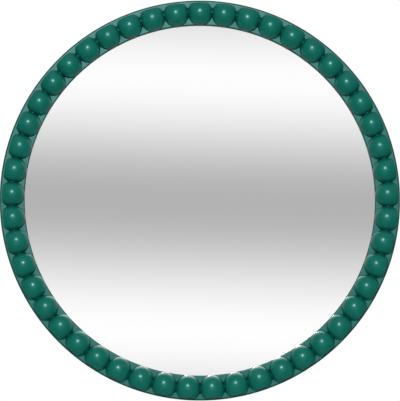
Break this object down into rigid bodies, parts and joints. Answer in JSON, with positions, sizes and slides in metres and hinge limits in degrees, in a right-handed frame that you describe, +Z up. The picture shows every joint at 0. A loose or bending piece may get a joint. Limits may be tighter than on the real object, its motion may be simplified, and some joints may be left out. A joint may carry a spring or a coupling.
{
  "type": "wall mirror",
  "caption": "Round wall mirror in a flat green lacquered ring set with turned half-beads side by side, hung by two swinging wire loops on its back.",
  "frame": {"origin": "centre of the round frame, on the wall plane that the four rear bumpers touch", "axes": "+Z up, -Y the way the mirror faces, +Y into the wall, +X to the right as seen from the front"},
  "size_m": [0.762, 0.0542, 0.7619],
  "materials": {
    "green_lacquer": "satin emerald lacquer over turned wood and fibreboard",
    "silvered_glass": "polished, silvered at the back",
    "raw_board": "plain brown hardboard",
    "dowel_wood": "plain beech",
    "foam": "matt black foam",
    "plated_steel": "nickel plated",
    "bumper_rubber": "matt black"
  },
  "bodies": {
    "frame": {"bead_01": "green_lacquer", "bead_02": "green_lacquer", "bead_03": "green_lacquer", "bead_04": "green_lacquer", "bead_05": "green_lacquer", "bead_06": "green_lacquer", "bead_07": "green_lacquer", "bead_08": "green_lacquer", "bead_09": "green_lacquer", "bead_10": "green_lacquer", "bead_11": "green_lacquer", "bead_12": "green_lacquer", "bead_13": "green_lacquer", "bead_14": "green_lacquer", "bead_15": "green_lacquer", "bead_16": "green_lacquer", "bead_17": "green_lacquer", "bead_18": "green_lacquer", "bead_19": "green_lacquer", "bead_20": "green_lacquer", "bead_21": "green_lacquer", "bead_22": "green_lacquer", "bead_23": "green_lacquer", "bead_24": "green_lacquer", "bead_25": "green_lacquer", "bead_26": "green_lacquer", "bead_27": "green_lacquer", "bead_28": "green_lacquer", "bead_29": "green_lacquer", "bead_30": "green_lacquer", "bead_31": "green_lacquer", "bead_32": "green_lacquer", "bead_33": "green_lacquer", "bead_34": "green_lacquer", "bead_35": "green_lacquer", "bead_36": "green_lacquer", "bead_37": "green_lacquer", "bead_38": "green_lacquer", "bead_39": "green_lacquer", "bead_40": "green_lacquer", "bead_41": "green_lacquer", "bead_42": "green_lacquer", "bead_43": "green_lacquer", "bead_44": "green_lacquer", "bead_45": "green_lacquer", "bead_46": "green_lacquer", "bead_47": "green_lacquer", "bead_48": "green_lacquer", "bead_49": "green_lacquer", "face_ring": "green_lacquer", "back_ring": "green_lacquer", "bead_dowels": "dowel_wood", "mirror_glass": "silvered_glass", "glass_spacer": "foam", "backing_board": "raw_board", "screws": "plated_steel", "wall_bumpers": "bumper_rubber", "hanger_straps": "plated_steel"},
    "loop_right": {"hanger_loop_right": "plated_steel"},
    "loop_left": {"hanger_loop_left": "plated_steel"}
  },
  "joints": [
    {"name": "loop_right_swing", "type": "hinge", "parent": "frame", "child": "loop_right", "pos_m": [0.34653, -0.003, 0.11435], "axis": [1, 0, 0], "range_deg": [0, 180]},
    {"name": "loop_left_swing", "type": "hinge", "parent": "frame", "child": "loop_left", "pos_m": [-0.34653, -0.003, 0.11435], "axis": [1, 0, 0], "range_deg": [0, 180]}
  ]
}
